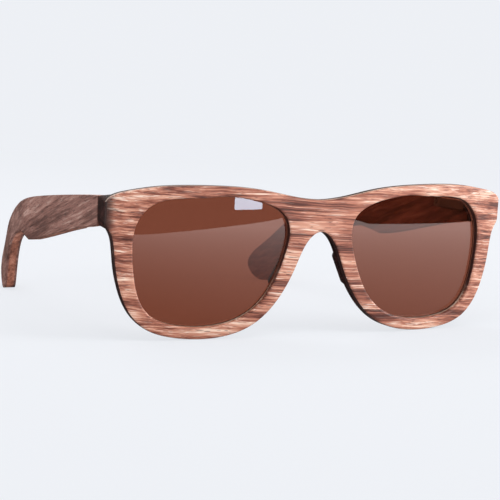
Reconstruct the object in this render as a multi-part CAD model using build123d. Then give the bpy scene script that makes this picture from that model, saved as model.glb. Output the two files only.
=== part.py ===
from build123d import *
import os
from math import cos, degrees, radians, sin

# Wooden sunglasses: a bent plywood front, two bent plywood arms, sprung hinges and spherical lenses.
# Millimetres. +X is the wearer's left, +Y points back to the ears and +Z is up. The glasses stand open
# on a table, on the lowest points of both rims and on the tips of both arms.

# Lenses and front
lens_width = 52.2            # of each lens opening, measured round the bend of the front
lens_height = 41.1
lens_gap = 23.0              # between the two openings, over the nose
end_width = 8.8              # from an opening to the outer edge
rim_above = 3.45
rim_below = 3.85
wrap_radius = 392.5          # of the bent front, at its face
front_lean = 3.2             # degrees that the top of the front stands ahead of its foot
face_ply = 1.4
pale_ply = 0.5
back_ply = 2.3
face_round = 0.6             # on the arrises of the face
back_round = 0.9             # on the arrises of the back

# Outline of an opening, in half widths and half heights of the opening
opening_shares = [
    (0.0, 1.0), (0.437, 0.972), (0.793, 0.852), (0.958, 0.589), (1.0, 0.229), (0.967, -0.212),
    (0.875, -0.61), (0.758, -0.803), (0.443, -0.969), (0.07, -1.0), (-0.33, -0.908), (-0.631, -0.668),
    (-0.835, -0.282), (-0.962, 0.165), (-0.998, 0.466), (-0.939, 0.693), (-0.77, 0.85), (-0.439, 0.969),
]
# Outline of half the front, in its half width and its height: the brow, then from the end piece
# down round the rim and up to the nose arch
brow_shares = [
    (0.0, 0.908), (0.124, 0.926), (0.276, 0.970), (0.441, 0.995), (0.607, 1.0), (0.793, 0.987),
    (0.897, 0.962), (0.971, 0.930),
]
brow_end_slope_share = -0.5
end_top_share = 0.889
rim_shares = [
    (1.0, 0.756), (0.979, 0.686), (0.964, 0.610), (0.952, 0.475), (0.930, 0.335), (0.886, 0.186),
    (0.811, 0.074), (0.703, 0.0176), (0.583, 0.0), (0.441, 0.0165), (0.310, 0.090), (0.197, 0.252),
    (0.124, 0.448), (0.087, 0.579), (0.044, 0.669), (0.0, 0.698),
]

# Lenses in their grooves
lens_radius = 260.0
lens_thickness = 1.8
lens_setback = 1.4           # of the lens behind the face, at the middle of the lens
bead_depth = 0.7             # of the bead round the lens, into the groove
bead_thickness = 0.8
lens_play = 0.05

# End blocks, glued behind the front
butt_back = 13.4             # from the middle of the face to the joint between block and arm
block_width = 6.6            # from the arm's outer face to the block's inner side
block_front_rise = 1.9       # that the block grows upwards from the joint to the front
block_front_drop = 0.9

# Nose pads, glued behind the front
pad_length = 15.0
pad_width = 4.2
pad_height = 3.2
pad_top_share = 0.8          # of the top's size to the foot's
pad_splay = 0.5              # that the pad's top stands outwards of its foot
pad_tilt = 26.0              # degrees that a pad leans from upright, along the nose
pad_across = 11.7            # from the middle plane to a pad's centre
pad_up = 21.2                # from the foot of the front to a pad's centre
pad_sink = 2.0               # that the pad's blank starts inside the front, before it is trimmed

# Arms
arm_reach = 131.2            # from the joint to the back of the tip
arm_top = 44.6               # of the arm's top at the joint, over the table
arm_thickness = 4.2
arm_veneer = 0.8             # on each side of the core
arm_inset = 1.1              # of the arm's outer face inside the front's half width
arm_gap = 0.15               # at the joint
bend_start = 51.0            # from the joint to the start of the bend
bend_radius = 102.0          # of the arm's outer face
bend_angle = 14.5            # degrees that the ear piece turns inwards
arm_round = 0.6              # on the arrises of the arm

# Outline of an arm, in its reach and the height of its top: along the top and round the tip to the
# notch, then from the heel forward along the underside
arm_back_shares = [
    (0.0, 1.0), (0.107, 0.980), (0.233, 0.948), (0.351, 0.9125), (0.470, 0.865), (0.575, 0.802),
    (0.680, 0.727), (0.765, 0.645), (0.833, 0.552), (0.886, 0.432), (0.944, 0.305), (0.986, 0.202),
    (0.996, 0.132), (0.983, 0.060), (0.956, 0.012), (0.928, 0.0), (0.900, 0.030), (0.879, 0.110),
    (0.855, 0.222), (0.818, 0.345), (0.760, 0.454), (0.690, 0.520), (0.617, 0.565), (0.536, 0.600),
]
arm_under_shares = [(0.449, 0.554), (0.351, 0.607), (0.226, 0.683), (0.100, 0.751), (0.0, 0.7915)]

# Notch that the cutter leaves on the arm's lower inner edge, beside the hinge
runout_radius = 5.0
runout_height = 1.3
runout_depth = 1.1
runout_back = 14.5           # from the joint to the middle of the notch
runout_level_share = 0.735   # of the underside there, in the height of the arm's top

# Hinges
pivot_inset = 0.1            # of the pivot inside the arm's inner face
barrel_radius = 1.5
knuckle_height = 1.5
knuckle_count = 3            # two on the front leaf, with the tongue's eye between them
knuckle_play = 0.05
screw_radius = 0.6
screw_play = 0.04
head_radius = 1.1
head_height = 0.5
slot_width = 0.3             # of a screw driver slot
slot_depth = 0.2
mouth_play = 0.12            # round the knuckles, in the wood
tang_thickness = 1.2
tang_depth = 4.4             # of the front leaf's tang, into the block
leaf_screw_radius = 0.4
leaf_screw_head = 0.75
leaf_screw_head_height = 0.4
leaf_screw_length = 4.4
leaf_screw_spacing = 2.8
leaf_screw_back = 3.2        # ahead of the joint

# Sprung tongue in its housing
neck_width = 1.5
neck_length = 3.5            # from the pivot to the housing
neck_gap = 0.1               # between the neck's shoulder and the housing
rod_radius = 0.5
rod_play = 0.15
rod_length = 8.6
nut_radius = 0.95
nut_length = 1.2
housing_width = 3.2
housing_height = 3.8
housing_length = 14.0
housing_wall = 0.5
housing_front_wall = 1.2
housing_round = 0.6
spring_wire = 0.3
spring_mean_radius = 0.8
spring_turns = 7
flange_thickness = 0.8
flange_tail = 7.0            # behind the housing
arm_screw_spacing = 3.2
arm_screw_radius = 0.5
arm_screw_head = 1.0
arm_screw_head_height = 0.45
arm_screw_length = 3.0

# Allowances for building the shapes
quarter_turn = 90.0          # degrees
arris_test_shares = (0, 0.37, 1)    # along an edge, where its depth behind the face is tested
overrun = 1.0                # of a cutting tool past what it cuts
reach = 30.0                 # of an outline's extrusion to either side
bend_overrun_share = 1.25

half_width = lens_gap / 2 + lens_width + end_width
front_height = rim_below + lens_height + rim_above
front_thickness = face_ply + pale_ply + back_ply
lens_across = (lens_gap + lens_width) / 2
lens_up = rim_below + lens_height / 2
lens_turn = degrees(lens_across / wrap_radius)
arm_outer = half_width - arm_inset
arm_inner = arm_outer - arm_thickness
block_inner = arm_outer - block_width
arm_root_bottom = arm_top * arm_under_shares[-1][1]
hinge_height = (arm_top + arm_root_bottom) / 2
pivot_across = arm_inner - pivot_inset
mouth_radius = barrel_radius + mouth_play
hinge_half_height = knuckle_count * knuckle_height / 2
housing_front = butt_back + neck_length
pocket_floor = pivot_across + housing_width / 2


def wrapped(depth):
    """Point and outward direction on the bent front at the lens's middle, that deep behind the face."""
    across = (wrap_radius - depth) * sin(radians(lens_turn))
    back = wrap_radius - (wrap_radius - depth) * cos(radians(lens_turn))
    return Vector(across, back, 0), Vector(sin(radians(lens_turn)), -cos(radians(lens_turn)), 0)


def half_plane():
    """Plane square to the left lens's axis, measured across from the middle of the front."""
    middle, outward = wrapped(0)
    along = Vector(cos(radians(lens_turn)), sin(radians(lens_turn)), 0)
    return Plane(origin=middle - along * lens_across, x_dir=along, z_dir=outward)


def layer(start, end):
    """Bent sheet between two depths behind the face."""
    turn = degrees(half_width / wrap_radius) * bend_overrun_share
    outside = CenterArc((0, wrap_radius), wrap_radius - start, -quarter_turn - turn, 2 * turn)
    inside = CenterArc((0, wrap_radius), wrap_radius - end, -quarter_turn - turn, 2 * turn)
    sides = [Line(outside @ 0, inside @ 0), Line(outside @ 1, inside @ 1)]
    sheet = make_face([outside, inside] + sides)
    return Pos(0, 0, -overrun) * extrude(sheet, front_height + 2 * overrun)


def left_side():
    """Block of space on the wearer's left of the middle plane."""
    size = half_width + reach
    return Pos(size / 2, 0, front_height / 2) * Box(size, 2 * size, 2 * size)


def half_outline():
    """Outline of the left half of the front, without the lens opening."""
    place = lambda share: (share[0] * half_width, share[1] * front_height)
    brow = Spline(
        *[place(share) for share in brow_shares],
        tangents=[(1, 0), (1, brow_end_slope_share)],
        tangent_scalars=(1, 1),
    )
    corner = TangentArc(brow @ 1, place((1, end_top_share)), tangent=brow % 1)
    rim = Spline(
        *[place(share) for share in rim_shares],
        tangents=[(0, -1), (-1, 0)],
        tangent_scalars=(1, 1),
    )
    return make_face([brow, corner, Line(corner @ 1, rim @ 0), rim, Line(rim @ 1, brow @ 0)])


def opening_outline(grow=0.0):
    """Outline of the left lens opening, made larger all round."""
    place = lambda share: (
        lens_across + share[0] * (lens_width / 2 + grow),
        lens_up + share[1] * (lens_height / 2 + grow),
    )
    return make_face(Spline(*[place(share) for share in opening_shares], periodic=True))


def upright(outline):
    """Outline of the left half, run through the front along the lens's axis."""
    return extrude(half_plane().offset(reach) * outline, -2 * reach)


def lens_shell(front, back, grow):
    """Part of the spherical lens between two depths behind its own front surface."""
    middle, outward = wrapped(lens_setback)
    centre = Vector(0, 0, lens_up) + middle - outward * lens_radius
    bowl = Sphere(lens_radius - front) - Sphere(lens_radius - back)
    return upright(opening_outline(grow)) & (Pos(*centre) * bowl)


def lean(shape):
    """Stands the front at its lean."""
    return Rot(front_lean, 0, 0) * shape


def both_halves(half):
    return half + mirror(half, about=Plane.YZ)


def front_ply(start, end):
    return upright(half_outline() - opening_outline()) & layer(start, end) & left_side()


def rounded(sheet, depth, radius):
    """Rounds the arrises of a ply that lie that deep behind the face."""
    axis = Vector(0, wrap_radius, 0)
    from_axis = lambda spot: (spot - axis - Vector(0, 0, spot.Z)).length
    at_depth = lambda spot: abs(from_axis(spot) + depth - wrap_radius) < lens_play
    level = [edge for edge in sheet.edges() if all(at_depth(edge @ share) for share in arris_test_shares)]
    return fillet([edge for edge in level if edge.length > 2 * radius], radius)


def face_sheet():
    return rounded(both_halves(front_ply(0, face_ply)), 0, face_round)


def pale_sheet():
    return both_halves(front_ply(face_ply, face_ply + pale_ply))


def back_sheet():
    middle = lens_thickness / 2
    room = bead_thickness / 2 + lens_play
    groove = lens_shell(middle - room, middle + room, bead_depth)
    sheet = rounded(both_halves(front_ply(face_ply + pale_ply, front_thickness)), front_thickness, back_round)
    return sheet - both_halves(groove)


def left_lens():
    middle = lens_thickness / 2
    pane = lens_shell(0, lens_thickness, -lens_play)
    bead = lens_shell(middle - bead_thickness / 2, middle + bead_thickness / 2, bead_depth - lens_play)
    return pane + bead


def at_hinge(shape, back=0.0):
    """Places a shape at the left pivot, that far behind the joint."""
    return Pos(pivot_across, butt_back + back, hinge_height) * shape


def turned_along(shape):
    """Turns a shape's axis from upright to pointing back."""
    return Rot(-quarter_turn, 0, 0) * shape


def hinge_mouth():
    """Room in the wood for the knuckles, and for the tongue when the arm is folded."""
    height = 2 * hinge_half_height + 2 * mouth_play
    barrel = Cylinder(mouth_radius, height)
    sweep_room = Pos(-block_inner / 2, 0, 0) * Box(block_inner, neck_width + 2 * mouth_play, height)
    return at_hinge(barrel + sweep_room)


def left_block():
    """Hardwood block behind the front's end, which the hinge is let into."""
    outline = lean(upright(half_outline()))
    behind = lean(layer(front_thickness - back_round, front_thickness + reach))
    side = Plane.YZ * make_face(Polyline(
        (butt_back, arm_root_bottom),
        (butt_back, arm_top),
        (0, arm_top + block_front_rise),
        (0, arm_root_bottom - block_front_drop),
        close=True,
    ))
    band = Pos(block_inner, 0, 0) * extrude(side, half_width)
    block = (outline & behind & band) - lean(back_sheet())
    block = block - hinge_mouth() - at_hinge(tang())
    for screw in leaf_screw_places():
        block = block - screw * leaf_screw()
    return block


def tang():
    """Flat tang of the front leaf, ahead of the pivot."""
    return Pos(0, -tang_depth / 2, 0) * Box(tang_thickness, tang_depth, 2 * hinge_half_height)


def leaf_screw_places():
    middle = butt_back - leaf_screw_back
    return [
        Pos(block_inner, middle, hinge_height + side * leaf_screw_spacing / 2) * Rot(0, quarter_turn, 0)
        for side in (-1, 1)
    ]


def screw(radius, length, head, head_height, play=0.0):
    """Flat headed screw along its own Z, with the head's top at zero."""
    return Pos(0, 0, length / 2) * Cylinder(radius + play, length) + Pos(0, 0, head_height / 2) * Cylinder(
        head + play, head_height)


def slotted(body, head):
    """Cuts a driver's slot across the head."""
    return body - Pos(0, 0, slot_depth / 2) * Box(2 * head + overrun, slot_width, slot_depth)


def leaf_screw():
    return screw(leaf_screw_radius, leaf_screw_length, leaf_screw_head, leaf_screw_head_height)


def front_leaf():
    """Upper and lower knuckles on one tang, with room for the tongue's eye between them."""
    barrel = Cylinder(barrel_radius, 2 * hinge_half_height)
    eye_room = Cylinder(barrel_radius + mouth_play, knuckle_height + 2 * knuckle_play)
    tongue_room = Box(2 * barrel_radius + overrun, 2 * barrel_radius, knuckle_height + 2 * knuckle_play)
    leaf = barrel + tang() - eye_room - Pos(0, 2 * mouth_play, 0) * tongue_room
    leaf = leaf - Cylinder(screw_radius + screw_play, 2 * hinge_half_height)
    top = hinge_half_height
    leaf = leaf - Pos(0, 0, top - head_height / 2) * Cylinder(head_radius + screw_play, head_height)
    leaf = at_hinge(leaf)
    for place in leaf_screw_places():
        leaf = leaf - place * leaf_screw()
    return leaf


def leaf_screws():
    return Compound([place * slotted(leaf_screw(), leaf_screw_head) for place in leaf_screw_places()])


def hinge_screw():
    body = slotted(screw(screw_radius, 2 * hinge_half_height, head_radius, head_height), head_radius)
    return at_hinge(Pos(0, 0, hinge_half_height) * Rot(2 * quarter_turn, 0, 0) * body)


def tongue():
    """Eye on the pivot, a square neck, and the rod that carries the spring."""
    height = knuckle_height
    shoulder = neck_length - neck_gap
    eye = Cylinder(barrel_radius, height)
    neck = Pos(0, shoulder / 2, 0) * Box(neck_width, shoulder, height)
    rod = Pos(0, shoulder + rod_length / 2, 0) * turned_along(Cylinder(rod_radius, rod_length))
    return at_hinge(eye + neck + rod - Cylinder(screw_radius + screw_play, height))


def rod_nut():
    """Round nut on the rod's end, which the spring pushes on."""
    back = neck_length - neck_gap + rod_length - nut_length / 2
    ring = Cylinder(nut_radius, nut_length) - Cylinder(rod_radius, nut_length)
    return at_hinge(turned_along(ring), back)


def spring():
    """Compression spring round the rod, between the housing's front wall and the nut."""
    start = neck_length + housing_front_wall + spring_wire
    end = neck_length - neck_gap + rod_length - nut_length - spring_wire
    path = Helix((end - start) / spring_turns, end - start, spring_mean_radius)
    section = Plane(origin=path @ 0, z_dir=path % 0) * Circle(spring_wire / 2)
    return at_hinge(turned_along(sweep(section, path=path, is_frenet=True)), start)


def arm_screw_places():
    """Two screws in a row through the flange's tail, driven outwards from the inner face."""
    middle = housing_front + housing_length + flange_tail / 2
    return [
        Pos(arm_inner, middle + side * arm_screw_spacing / 2, hinge_height) * Rot(0, quarter_turn, 0)
        for side in (-1, 1)
    ]


def arm_screw():
    return screw(arm_screw_radius, arm_screw_length, arm_screw_head, arm_screw_head_height)


def flange():
    """Flange under the housing, let into the arm flush with its inner face."""
    length = housing_length + flange_tail
    plane = Plane(origin=(arm_inner, housing_front, hinge_height), x_dir=(0, 1, 0), z_dir=(1, 0, 0))
    strip = Pos(length / 2, 0) * RectangleRounded(length, housing_height, housing_round)
    return extrude(plane * strip, flange_thickness)


def housing():
    """Spring housing: a closed box with a bore at the front, on a flange screwed to the arm."""
    box = Pos(0, housing_length / 2, 0) * Box(housing_width, housing_length, housing_height)
    box = fillet(box.edges().filter_by(Axis.Y).group_by(Axis.X)[0], housing_round)
    chamber_length = housing_length - housing_front_wall - housing_wall
    chamber = Pos(0, housing_front_wall + chamber_length / 2, 0) * Box(
        housing_width - 2 * housing_wall, chamber_length, housing_height - 2 * housing_wall)
    bore = Pos(0, housing_front_wall / 2, 0) * turned_along(
        Cylinder(rod_radius + rod_play, housing_front_wall + overrun))
    solid = at_hinge(box, neck_length) + flange() - at_hinge(chamber + bore, neck_length)
    for place in arm_screw_places():
        solid = solid - place * arm_screw()
    return solid


def housing_screws():
    return Compound([place * slotted(arm_screw(), arm_screw_head) for place in arm_screw_places()])


def arm_profile():
    """Side view of the left arm, run across it."""
    place = lambda share: (butt_back + share[0] * arm_reach, share[1] * arm_top)
    back = Spline(*[place(share) for share in arm_back_shares])
    under = Spline(*[place(share) for share in arm_under_shares])
    outline = make_face([back, Line(back @ 1, under @ 0), under, Line(under @ 1, back @ 0)])
    joint = Pos(0, butt_back, 0) * Box(4 * half_width, 2 * arm_gap, 4 * arm_top)
    return extrude(Plane.YZ * outline, half_width + reach) - joint


def arm_layer(start, end):
    """Bent sheet of the left arm between two depths behind its outer face."""
    centre = (arm_outer - bend_radius, butt_back + bend_start)
    along = Vector(-sin(radians(bend_angle)), cos(radians(bend_angle)))
    paths = []
    for depth in (start, end):
        root = (arm_outer - depth, butt_back)
        bend = CenterArc(centre, bend_radius - depth, 0, bend_angle)
        tail = Line(bend @ 1, (bend @ 1) + along * arm_reach)
        paths.append([Line(root, bend @ 0), bend, tail])
    caps = [Line(paths[0][0] @ 0, paths[1][0] @ 0), Line(paths[0][2] @ 1, paths[1][2] @ 1)]
    sheet = extrude(make_face(paths[0] + paths[1] + caps), arm_top + overrun)
    return (Pos(0, 0, -overrun / 2) * sheet) & arm_profile()


def hinge_pocket():
    """Recess in the arm's inner face for the knuckles, the neck, the housing and its flange."""
    width = reach
    shift = pocket_floor - pivot_across - width / 2
    length = neck_length + housing_length
    channel = Pos(shift, length / 2, 0) * Box(width, length, housing_height)
    barrel_height = 2 * hinge_half_height + 2 * mouth_play
    knuckles = Pos(shift, 0, 0) * Box(width, 2 * mouth_radius, barrel_height)
    return at_hinge(channel + knuckles) + flange()


def runout():
    """Notch on the lower inner edge, left by the cutter."""
    level = arm_top * runout_level_share + runout_height - runout_radius
    disc = Rot(0, quarter_turn, 0) * Cylinder(runout_radius, 2 * runout_depth)
    return Pos(arm_inner, butt_back + runout_back, level) * disc


def cut_for_hinge(sheet):
    sheet = sheet - hinge_pocket() - runout()
    for place in arm_screw_places():
        sheet = sheet - place * arm_screw()
    return sheet


def outer_veneer():
    return arm_layer(0, arm_veneer)


def arm_core():
    return cut_for_hinge(arm_layer(arm_veneer, arm_thickness - arm_veneer))


def inner_veneer():
    return cut_for_hinge(arm_layer(arm_thickness - arm_veneer, arm_thickness))


def left_pad():
    """Nose pad: a rounded bar on the back of the front, splayed to the nose's side."""
    plane = half_plane()
    foot = SlotOverall(pad_length, pad_width, rotation=quarter_turn + pad_tilt)
    top = SlotOverall(pad_length * pad_top_share, pad_width * pad_top_share, rotation=quarter_turn + pad_tilt)
    foot_plane = plane.offset(pad_sink - front_thickness)
    top_plane = plane.offset(-front_thickness - pad_height)
    blank = loft([
        foot_plane * Pos(pad_across, pad_up) * foot,
        top_plane * Pos(pad_across + pad_splay, pad_up) * top,
    ])
    return blank & layer(front_thickness, front_thickness + reach)


front = {
    "front_face_ply": lean(face_sheet()),
    "front_pale_ply": lean(pale_sheet()),
    "front_back_ply": lean(back_sheet()),
}
left_pieces = {
    "lens": lean(left_lens()),
    "nose_pad": lean(left_pad()),
    "end_block": left_block(),
    "hinge_front_leaf": front_leaf(),
    "hinge_leaf_screws": leaf_screws(),
    "hinge_screw": hinge_screw(),
    "hinge_tongue": tongue(),
    "hinge_rod_nut": rod_nut(),
    "hinge_spring": spring(),
    "hinge_housing": housing(),
    "hinge_housing_screws": housing_screws(),
    "arm_outer_veneer": outer_veneer(),
    "arm_core": arm_core(),
    "arm_inner_veneer": inner_veneer(),
}

pieces = dict(front)
for name, piece in left_pieces.items():
    pieces["left_" + name] = piece
    pieces["right_" + name] = mirror(piece, about=Plane.YZ)

# The origin is the middle of the footprint, at table level
box = Compound(list(pieces.values())).bounding_box()
shift = Pos(0, -(box.min.Y + box.max.Y) / 2, -box.min.Z)

os.makedirs("parts", exist_ok=True)
for name, piece in pieces.items():
    export_step(shift * piece, "parts/" + name + ".step")

pivot = shift * Pos(pivot_across, butt_back, hinge_height)
corner = shift * Pos(arm_outer, butt_back + arm_gap, hinge_height)
print("box", box.min, box.max)
print("left pivot", pivot.position, "left flex corner", corner.position)
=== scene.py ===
import bpy
from math import radians
from mathutils import Matrix, Vector

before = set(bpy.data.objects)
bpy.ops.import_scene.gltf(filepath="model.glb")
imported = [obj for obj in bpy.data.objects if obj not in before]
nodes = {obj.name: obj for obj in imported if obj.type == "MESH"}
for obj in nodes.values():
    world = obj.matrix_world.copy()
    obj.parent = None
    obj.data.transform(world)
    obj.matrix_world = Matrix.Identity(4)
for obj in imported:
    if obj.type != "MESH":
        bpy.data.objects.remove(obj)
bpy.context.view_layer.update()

sides = ("left", "right")
perMetre = 1000     # patterns are scaled in millimetres
middle = 0.5        # of a noise's values
print("frame loaded:", len(nodes), "nodes")


# a socket of a node tree, so that shader maths reads as Python expressions
class Wire:
    def __init__(self, tree, socket):
        self.tree = tree
        self.socket = socket

    def math(self, operation, *values):
        return makeNode(self.tree, "ShaderNodeMath", {"operation": operation},
                        dict(enumerate(values)))

    def __add__(self, other):
        return self.math("ADD", self, other)

    def __radd__(self, other):
        return self.math("ADD", other, self)

    def __sub__(self, other):
        return self.math("SUBTRACT", self, other)

    def __rsub__(self, other):
        return self.math("SUBTRACT", other, self)

    def __mul__(self, other):
        return self.math("MULTIPLY", self, other)

    def __rmul__(self, other):
        return self.math("MULTIPLY", other, self)


# one node: its settings first, then the values or links of its sockets
def makeNode(tree, kind, settings=None, sockets=None, output=0):
    node = tree.nodes.new(kind)
    for name, value in (settings or {}).items():
        if name == "stops":
            ramp = node.color_ramp
            while len(ramp.elements) < len(value):
                ramp.elements.new(0.5)      # its own place comes below
            for element, (place, colour) in zip(ramp.elements, value):
                element.position = place
                element.color = (*colour, 1)
        else:
            setattr(node, name, value)
    for name, value in (sockets or {}).items():
        if isinstance(value, Wire):
            tree.links.new(value.socket, node.inputs[name])
        else:
            node.inputs[name].default_value = value
    return Wire(tree, node.outputs[output]) if len(node.outputs) else None


# the node tree of a material or of the world, emptied, with the nodes that are used most
class Finish:
    def __init__(self, owner):
        self.owner = owner
        owner.use_nodes = True
        self.tree = owner.node_tree
        self.tree.nodes.clear()

    def node(self, kind, settings=None, sockets=None, output=0):
        return makeNode(self.tree, kind, settings, sockets, output)

    def ray(self, kind):
        return self.node("ShaderNodeLightPath", output="Is " + kind + " Ray")

    def axis(self, vector, name):
        return self.node("ShaderNodeSeparateXYZ", None, {0: vector}, output=name)

    # where a point is on the object, in metres
    def spot(self):
        return self.node("ShaderNodeTexCoord", output="Object")

    # the same in millimetres, turned so that the pattern's own axes apply
    def place(self, turn=(0, 0, 0)):
        turned = self.node("ShaderNodeMapping", None, {"Vector": self.spot(), "Rotation": turn})
        return self.node("ShaderNodeMapping", None, {"Vector": turned, "Scale": (perMetre,) * 3})

    def stretched(self, where, scales):
        return self.node("ShaderNodeMapping", None, {"Vector": where, "Scale": scales})

    def noise(self, where, scale, detail=2.0, roughness=0.5):
        return self.node("ShaderNodeTexNoise", {"noise_dimensions": "3D"},
                         {"Vector": where, "Scale": scale, "Detail": detail,
                          "Roughness": roughness})

    def step(self, value, low, high, least=0.0, most=1.0):
        return self.node("ShaderNodeMapRange", {"interpolation_type": "SMOOTHSTEP"},
                         {"Value": value, "From Min": low, "From Max": high,
                          "To Min": least, "To Max": most})

    def ramp(self, value, stops):
        return self.node("ShaderNodeValToRGB", {"stops": stops}, {"Fac": value})

    # between two colours
    def mix(self, share, first, second):
        first, second = (c if isinstance(c, Wire) else (*c, 1) for c in (first, second))
        return self.node("ShaderNodeMix", {"data_type": "RGBA"}, {0: share, 6: first, 7: second},
                         output=2)

    # between two shaders
    def blend(self, share, first, second):
        return self.node("ShaderNodeMixShader", None, {0: share, 1: first, 2: second})

    # fine relief, over edges that shade as if they were slightly rounded
    def relief(self, height, look):
        rounded = self.node("ShaderNodeBevel", {"samples": look["arrisSamples"]},
                            {"Radius": look["arris"]})
        return self.node("ShaderNodeBump", None,
                         {"Height": height, "Strength": look["bump"],
                          "Distance": look["bumpDistance"], "Normal": rounded})

    def end(self, shader, kind="Material"):
        self.node("ShaderNodeOutput" + kind, None, {"Surface": shader})
        return self.owner


def newFinish(name):
    return Finish(bpy.data.materials.new(name))


def scaled(colour, share):
    return tuple(c * share for c in colour)


# sliced veneer: broad bands, fine streaks and fibres along the grain, dark pores, and light flecks
# painted as glints off the open grain
def makeWood(name, look):
    f = newFinish(name)
    where = f.place(look["turn"])
    drift = (f.noise(where, look["driftScale"]) - middle) * look["drift"]
    wander = f.node("ShaderNodeCombineXYZ", None, {"Z": drift})
    shifted = f.node("ShaderNodeVectorMath", {"operation": "ADD"}, {0: where, 1: wander})
    layers = {}
    for layer in ("band", "streak", "fibre", "pore", "fleck"):
        at = f.stretched(shifted, look[layer + "Stretch"])
        layers[layer] = f.noise(at, 1.0, look[layer + "Detail"], look["layerRoughness"])
    layers["cloud"] = f.noise(where, look["cloudScale"])

    tone = middle + look["lift"]
    for layer in ("band", "streak", "fibre", "cloud"):
        tone = tone + (layers[layer] - middle) * look[layer + "Share"]
    colour = f.ramp(tone, look["stops"])

    pores = f.step(layers["pore"], look["poreStart"], look["poreStart"] + look["poreSoft"])
    pores = pores * f.step(layers["cloud"], *look["poreClouds"], look["poreLeast"])
    colour = f.mix(pores * look["poreDepth"], colour, look["poreColour"])
    # painted highlight: pale flecks stand in for glints of light off the open grain
    glints = f.step(layers["fleck"], look["fleckStart"], look["fleckStart"] + look["fleckSoft"])
    glints = glints * f.step(tone, *look["glintTones"], look["glintLeast"])
    colour = f.mix(glints * look["glintDepth"], colour, look["glintColour"])

    if "wallShadeColour" in look:     # painted shade: side walls go nearly black, partly the darker sawn edge; walls that look up stay light, as light falls on them
        facing = f.node("ShaderNodeTexCoord", output="Normal")
        ahead = f.axis(facing, "Y")
        shadedWalls = 1 - f.step(ahead * ahead, *look["wallShadeAhead"])
        shadedWalls = shadedWalls * (1 - f.step(f.axis(facing, "Z"), *look["wallShadeUp"]))
        colour = f.mix(shadedWalls, colour, look["wallShadeColour"])
    if "endShadeColour" in look:     # painted shade: darker at the right end of the front, where its rounded corner turns away from the light
        ragged = (layers["streak"] - middle) * look["endShadeRagged"] - f.axis(f.spot(), "X")
        shadedEnd = f.step(ragged, look["endShadeFrom"], look["endShadeTo"])
        colour = f.mix(shadedEnd * look["endShadeDepth"], colour, look["endShadeColour"])

    height = layers["fibre"] * look["fibreHeight"] + layers["streak"] * look["streakHeight"] - pores
    roughness = look["roughness"] + (layers["fibre"] - middle) * look["fibreMatt"]
    roughness = roughness + pores * look["poreMatt"]
    shader = f.node("ShaderNodeBsdfPrincipled", None,
                    {"Base Color": colour, "Roughness": roughness,
                     "Specular IOR Level": look["specular"], "Normal": f.relief(height, look)})
    return f.end(shader)


# Stretches are along X, Y and Z in 1 / mm: the front's grain runs along X and the arms' along Y.
# In every look the flecks are painted glints of light off the grain.
faceLook = {
    "turn": (0, radians(-3), 0), "drift": 1.5, "driftScale": 0.05,
    "bandStretch": (0.012, 0.15, 0.3), "bandDetail": 2.0, "bandShare": 1.25,
    "streakStretch": (0.032, 0.6, 1.5), "streakDetail": 4.0, "streakShare": 1.15,
    "fibreStretch": (0.1, 1.5, 3.0), "fibreDetail": 3.0, "fibreShare": 0.65,
    "cloudScale": 0.06, "cloudShare": 0.6, "lift": -0.03, "layerRoughness": 0.6,
    "stops": [(0.18, (0.085, 0.020, 0.012)), (0.34, (0.235, 0.068, 0.040)),
              (0.50, (0.480, 0.178, 0.110)), (0.66, (0.700, 0.360, 0.250)),
              (0.82, (0.900, 0.670, 0.530))],
    "poreStretch": (0.28, 1.5, 3.0), "poreDetail": 1.0, "poreStart": 0.62, "poreSoft": 0.06,
    "poreClouds": (0.35, 0.6), "poreLeast": 0.45,       # fewer pores where the clouds are dark
    "poreDepth": 0.75, "poreColour": (0.09, 0.024, 0.02),
    "fleckStretch": (0.09, 1.0, 2.2), "fleckDetail": 2.0, "fleckStart": 0.57, "fleckSoft": 0.08,
    "glintTones": (0.42, 0.6), "glintLeast": 0.15,      # fewer painted glints where the wood is dark
    "glintDepth": 0.7, "glintColour": (0.93, 0.78, 0.66),
    "roughness": 0.44, "fibreMatt": 0.2, "poreMatt": 0.15, "specular": 0.5,
    "fibreHeight": 0.5, "streakHeight": 0.3, "bump": 0.3, "bumpDistance": 0.0002,
    "arris": 0.0004, "arrisSamples": 6,
    "wallShadeAhead": (0.1, 0.5), "wallShadeUp": (0.25, 0.7),       # which ways a wall with painted shade doesn't face: ahead, and up where light falls
}
# the front's painted shade: nearly black side walls, and a darker right end
frontLook = dict(
    faceLook, arris=0.0007, wallShadeColour=(0.035, 0.008, 0.006),
    endShadeFrom=0.0688, endShadeTo=0.0718, endShadeRagged=0.006, endShadeDepth=0.88, endShadeColour=(0.045, 0.014, 0.01),
)
armLook = dict(
    faceLook, turn=(radians(17), 0, 0),
    bandStretch=(0.15, 0.02, 0.22), bandShare=0.8,
    streakStretch=(0.5, 0.06, 0.85), streakShare=1.1,
    fibreStretch=(1.5, 0.16, 2.3), fibreShare=0.6,
    stops=[(0.20, (0.100, 0.038, 0.028)), (0.38, (0.178, 0.075, 0.056)),
           (0.54, (0.270, 0.122, 0.094)), (0.70, (0.370, 0.190, 0.150)),
           (0.86, (0.500, 0.300, 0.250))],
    poreStretch=(1.5, 0.3, 2.6), poreDepth=0.55, poreColour=(0.05, 0.026, 0.02),
    # painted glints on the arm veneer
    fleckStretch=(1.0, 0.12, 1.7), glintDepth=0.3, glintColour=(0.44, 0.32, 0.27), bump=0.22,
)
coreLook = dict(
    armLook, roughness=0.5,
    stops=[(0.20, (0.160, 0.050, 0.028)), (0.38, (0.300, 0.100, 0.058)),
           (0.54, (0.450, 0.165, 0.100)), (0.70, (0.570, 0.235, 0.155)),
           (0.86, (0.680, 0.330, 0.230))],
    # painted glints on the arm core
    poreColour=(0.08, 0.028, 0.016), glintColour=(0.52, 0.3, 0.2),
)
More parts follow.
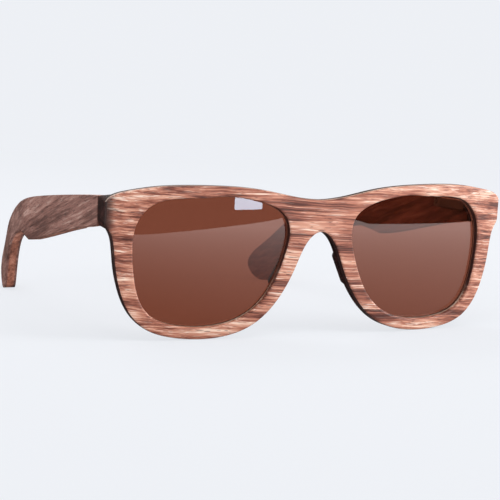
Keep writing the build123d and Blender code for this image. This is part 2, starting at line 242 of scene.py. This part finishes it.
paleLook = dict(
    faceLook,
    stops=[(0.20, (0.420, 0.280, 0.200)), (0.38, (0.530, 0.380, 0.280)),
           (0.54, (0.620, 0.470, 0.360)), (0.70, (0.700, 0.560, 0.450)),
           (0.86, (0.800, 0.680, 0.560))],
    # painted shade on the side walls, and faint painted glints
    poreDepth=0.25, poreColour=(0.3, 0.18, 0.11), glintDepth=0.2, wallShadeColour=(0.03, 0.012, 0.01),
)
darkLook = dict(
    faceLook, roughness=0.36, specular=0.2,
    stops=[(0.20, (0.010, 0.003, 0.002)), (0.38, (0.020, 0.006, 0.005)),
           (0.54, (0.034, 0.010, 0.008)), (0.70, (0.054, 0.017, 0.014)),
           (0.86, (0.080, 0.030, 0.025))],
    poreDepth=0.5, poreColour=(0.004, 0.003, 0.003),
    # grey painted glints on the dark wood
    glintDepth=0.2, glintColour=(0.07, 0.05, 0.047),
)

lensLook = {
    "tint": (0.225, 0.066, 0.037), "ior": 1.52,
    "smearScale": 0.15, "smearDetail": 4.0, "smearRoughness": 0.6,
    "smears": (0.5, 0.8), "smearMatt": 0.012,
}


# brown lens: tinted glass with the faintest smears on it
def makeLens(name, look):
    f = newFinish(name)
    smears = f.noise(f.place(), look["smearScale"], look["smearDetail"], look["smearRoughness"])
    roughness = f.step(smears, *look["smears"], 0.0, look["smearMatt"])
    shader = f.node("ShaderNodeBsdfPrincipled", None,
                    {"Base Color": (*look["tint"], 1), "Roughness": roughness,
                     "IOR": look["ior"], "Transmission Weight": 1.0})
    return f.end(shader)


metalLook = {
    "colour": (0.42, 0.41, 0.40), "darkest": 0.8, "lightest": 1.25,
    "brush": (0.6, 6.0, 6.0), "brushDetail": 3.0, "brushRoughness": 0.6, "brushLines": (0.3, 0.7),
    "nickScale": 1.7, "nicks": (0.62, 0.7), "nickMatt": 0.1,
    "roughness": 0.32, "brushMatt": 0.25, "bump": 0.15, "bumpDistance": 0.00005,
    "arris": 0.00015, "arrisSamples": 6,
}
screwLook = dict(metalLook, colour=(0.55, 0.54, 0.52), brush=(3, 3, 3), roughness=0.26)
springLook = dict(metalLook, colour=(0.36, 0.35, 0.34), brush=(4, 4, 4), roughness=0.3)


# brushed hinge metal: fine lines, and tiny nicks
def makeMetal(name, look):
    f = newFinish(name)
    where = f.place()
    lines = f.noise(f.stretched(where, look["brush"]), 1.0, look["brushDetail"],
                    look["brushRoughness"])
    nicks = f.step(f.noise(where, look["nickScale"]), *look["nicks"])
    colour = f.mix(f.step(lines, *look["brushLines"]), scaled(look["colour"], look["darkest"]),
                   scaled(look["colour"], look["lightest"]))
    roughness = look["roughness"] + (lines - middle) * look["brushMatt"] + nicks * look["nickMatt"]
    shader = f.node("ShaderNodeBsdfPrincipled", None,
                    {"Base Color": colour, "Metallic": 1.0, "Roughness": roughness,
                     "Normal": f.relief(lines, look)})
    return f.end(shader)


faceWood = makeWood("faceVeneer", frontLook)
armWood = makeWood("armVeneer", armLook)
coreWood = makeWood("armCoreWood", coreLook)
paleWood = makeWood("paleVeneer", paleLook)
darkWood = makeWood("darkWood", darkLook)
lensGlass = makeLens("lensGlass", lensLook)
hingeMetal = makeMetal("hingeMetal", metalLook)
screwMetal = makeMetal("screwMetal", screwLook)
springMetal = makeMetal("springMetal", springLook)
print("materials made")

finishes = {
    "front_face_ply": faceWood, "front_pale_ply": paleWood, "front_back_ply": darkWood,
    "lens": lensGlass, "nose_pad": darkWood, "end_block": darkWood,
    "hinge_front_leaf": hingeMetal, "hinge_leaf_screws": screwMetal, "hinge_screw": screwMetal,
    "hinge_tongue": hingeMetal, "hinge_rod_nut": hingeMetal, "hinge_spring": springMetal,
    "hinge_housing": hingeMetal, "hinge_housing_screws": screwMetal,
    "arm_outer_veneer": armWood, "arm_core": coreWood, "arm_inner_veneer": armWood,
}
for name, piece in nodes.items():
    side, _, rest = name.partition("_")
    piece.data.materials.clear()
    piece.data.materials.append(finishes[rest if side in sides else name])
print("finishes given to", len(nodes), "nodes")


cameraLook = {
    "place": (-0.30521, -0.60614, 0.09298),
    "right": (0.88695, -0.46066, 0.03341), "up": (0.01960, 0.10982, 0.99376),
    "ahead": (0.46145, 0.88076, -0.10644),
    "focal": 139.1, "sensor": 36, "nearest": 0.01, "farthest": 60,
}


def makeCamera(look):
    data = bpy.data.cameras.new("camera")
    data.lens = look["focal"]
    data.sensor_width = look["sensor"]
    data.clip_start = look["nearest"]
    data.clip_end = look["farthest"]
    camera = bpy.data.objects.new("camera", data)
    bpy.context.scene.collection.objects.link(camera)
    turn = Matrix((look["right"], look["up"], scaled(look["ahead"], -1))).transposed()
    camera.matrix_world = Matrix.Translation(look["place"]) @ turn.to_4x4()
    bpy.context.scene.camera = camera


makeCamera(cameraLook)


# Gloss sees a table lit at its front, and beyond its two front edges the unlit studio.
stageLook = {
    "pale": (0.851, 0.872, 0.913), "ambient": 0.5,
    "room": (0.088, 0.032, 0.016),
    "half": 20, "height": -0.00002,
    "paper": 0.88, "paperRoughness": 0.5,
    "cloudScale": 0.02, "clouds": (0.3, 0.7), "cloudDark": 0.995,
    "shown": 0.78, "shownFrom": 0.2, "shownTo": 0.9,    # how plain the pale is, by distance
    "glare": 3.1, "glareColour": (1.0, 0.84, 0.81), "glareLow": 0.05,
    "glareFrom": 0.06, "glareTo": 0.40, "glareSlant": 0.6,
    "edges": ((0.32, 0.55), (0.46, -0.61)),             # the distance and slant of each
    "corner": 0.2, "edgeSoft": 0.002,
}


# pale for the camera and through glass, dark for gloss, and plain light for the rest
def makeWorld(look):
    world = bpy.data.worlds.new("studio")
    bpy.context.scene.world = world
    f = Finish(world)
    seen = f.ray("Camera")
    through = f.ray("Transmission")
    lit, dark, pale = (
        f.node("ShaderNodeBackground", None, {"Color": (*colour, 1), "Strength": strength})
        for colour, strength in (((1, 1, 1), look["ambient"]), (look["room"], 1.0),
                                 (look["pale"], 1.0)))
    unseen = f.blend(f.ray("Glossy"), lit, dark)
    f.end(f.blend(seen.math("MAXIMUM", seen, through), unseen, pale), "World")


# pale paper that keeps the object's shadow
def makeFloor(look):
    f = newFinish("floorPaper")
    clouds = f.step(f.noise(f.place(), look["cloudScale"]), *look["clouds"])
    white = scaled(look["pale"], look["paper"])
    paper = f.node("ShaderNodeBsdfDiffuse", None,
                   {"Color": f.mix(clouds, white, scaled(white, look["cloudDark"])),
                    "Roughness": look["paperRoughness"]})
    plain = f.node("ShaderNodeEmission", None, {"Color": (*look["pale"], 1), "Strength": 1.0})
    seen = f.ray("Camera")
    through = f.ray("Transmission")
    spot = f.spot()
    away = f.node("ShaderNodeVectorMath", {"operation": "LENGTH"}, {0: spot}, output="Value")
    share = f.step(away, look["shownFrom"], look["shownTo"], look["shown"], 1.0)
    shown = f.blend(seen.math("MAXIMUM", seen, through) * share, paper, plain)

    across = f.axis(spot, "X")
    ahead = 0 - f.axis(spot, "Y")
    reached = ahead + across * look["glareSlant"] - look["glareFrom"]
    lit = f.mix(reached * (1 / (look["glareTo"] - look["glareFrom"])),
                scaled(look["glareColour"], look["glareLow"] / look["glare"]), look["glareColour"])
    (first, firstSlant), (second, secondSlant) = look["edges"]
    turned = across.math("GREATER_THAN", across, look["corner"])
    edge = (first + across * firstSlant) * (1 - turned) + (second + across * secondSlant) * turned
    beyond = f.step(ahead - edge, -look["edgeSoft"], look["edgeSoft"])
    shine = f.mix(beyond, lit, scaled(look["room"], 1 / look["glare"]))
    shine = f.node("ShaderNodeEmission", None, {"Color": shine, "Strength": look["glare"]})
    # a ray that has passed through glass counts as glossy too
    material = f.end(f.blend(f.ray("Glossy") * (1 - through), shown, shine))

    half, height = look["half"], look["height"]
    corners = [(x * half, y * half, height) for x, y in ((-1, -1), (1, -1), (1, 1), (-1, 1))]
    mesh = bpy.data.meshes.new("floor")
    mesh.from_pydata(corners, [], [(0, 1, 2, 3)])
    mesh.materials.append(material)
    floor = bpy.data.objects.new("floor", mesh)
    bpy.context.scene.collection.objects.link(floor)


makeWorld(stageLook)
makeFloor(stageLook)

lampLooks = {
    "topSoftbox": {"at": (0.1, -0.35, 1.1), "to": (0, 0, 0.02), "size": (1.0, 1.0), "power": 5.5},
    "frontSoftbox": {"at": (0.66, -0.43, 0.27), "to": (0, 0, 0.03), "size": (0.5, 0.3),
                     "power": 4.9},
    "leftSoftbox": {"at": (-1.1, -0.7, 0.3), "to": (0, 0, 0.03), "size": (0.7, 0.7),
                    "power": 3.4},
    "backSoftbox": {"at": (-0.1, 0.8, 0.8), "to": (0, -0.07, 0.04), "size": (0.9, 0.5),
                    "power": 5.0},
    "backStrip": {"at": (0.5, 1.05, 0.16), "to": (0, -0.07, 0.04), "size": (1.4, 0.26),
                  "power": 2.4},
    "leftStrip": {"at": (-0.85, 0.62, 0.2), "to": (-0.05, 0, 0.03), "size": (0.5, 0.4),
                  "power": 1.8},
    # small and near, it shows as a window in the right lens
    "window": {"at": (0.117, -0.427, 0.019), "to": (-0.026, -0.07, 0.042),
               "size": (0.042, 0.013), "power": 0.026, "colour": (0.66, 0.82, 1.0)},
}


def makeLamp(name, look):
    data = bpy.data.lights.new(name, "AREA")
    data.shape = "RECTANGLE"
    data.size, data.size_y = look["size"]
    data.energy = look["power"]
    data.color = look.get("colour", (1, 1, 1))
    lamp = bpy.data.objects.new(name, data)
    bpy.context.scene.collection.objects.link(lamp)
    lamp.location = look["at"]
    aim = Vector(look["to"]) - Vector(look["at"])
    lamp.rotation_euler = aim.to_track_quat("-Z", "Y").to_euler()
    lamp.visible_camera = lamp.visible_transmission = False


for name, look in lampLooks.items():
    makeLamp(name, look)
bpy.context.scene.view_settings.view_transform = "Standard"
print("stage, lamps and camera set")
